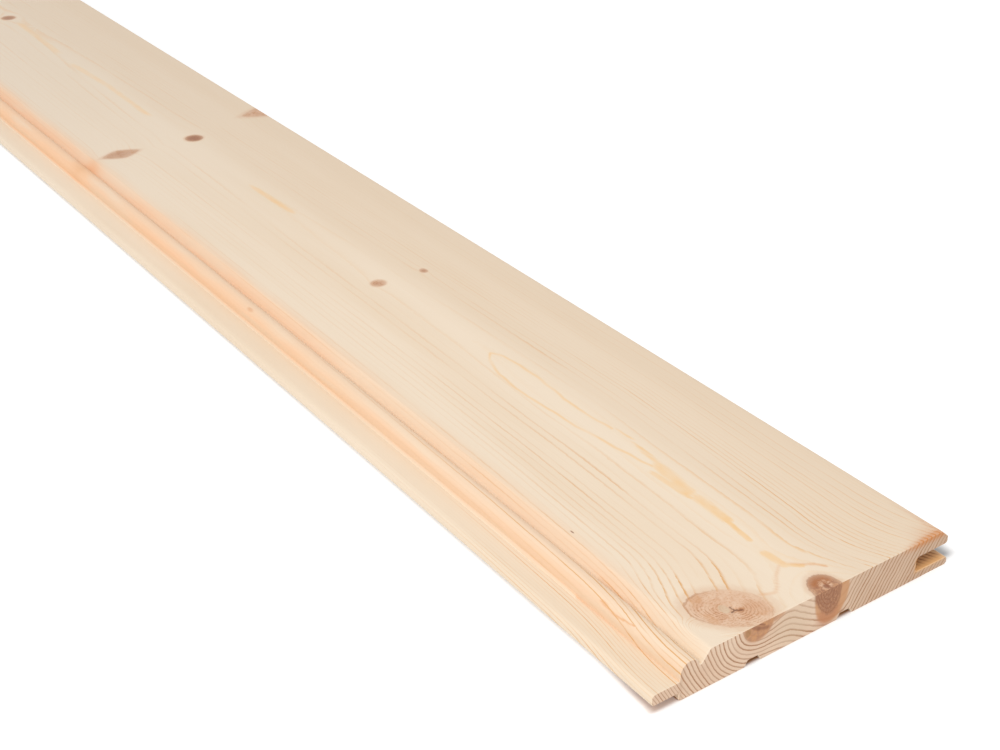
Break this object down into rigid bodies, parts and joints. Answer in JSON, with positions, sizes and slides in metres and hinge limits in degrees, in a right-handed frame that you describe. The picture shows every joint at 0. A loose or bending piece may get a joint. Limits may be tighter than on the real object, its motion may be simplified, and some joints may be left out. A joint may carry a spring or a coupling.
{
  "type": "tongue and groove board",
  "caption": "Pine lining board with a tongue on one long edge, a groove in the other, and a bead with a V beside it along the tongue side of the face.",
  "frame": {"origin": "under the middle of the board's box, on its back face", "axes": "+X along the board, +Y across it towards the grooved edge (the tongue points to -Y), +Z out of the beaded face"},
  "size_m": [2.4, 0.12, 0.014],
  "materials": {
    "pine": "planed, unfinished"
  },
  "bodies": {
    "root": {"board": "pine"}
  },
  "joints": []
}
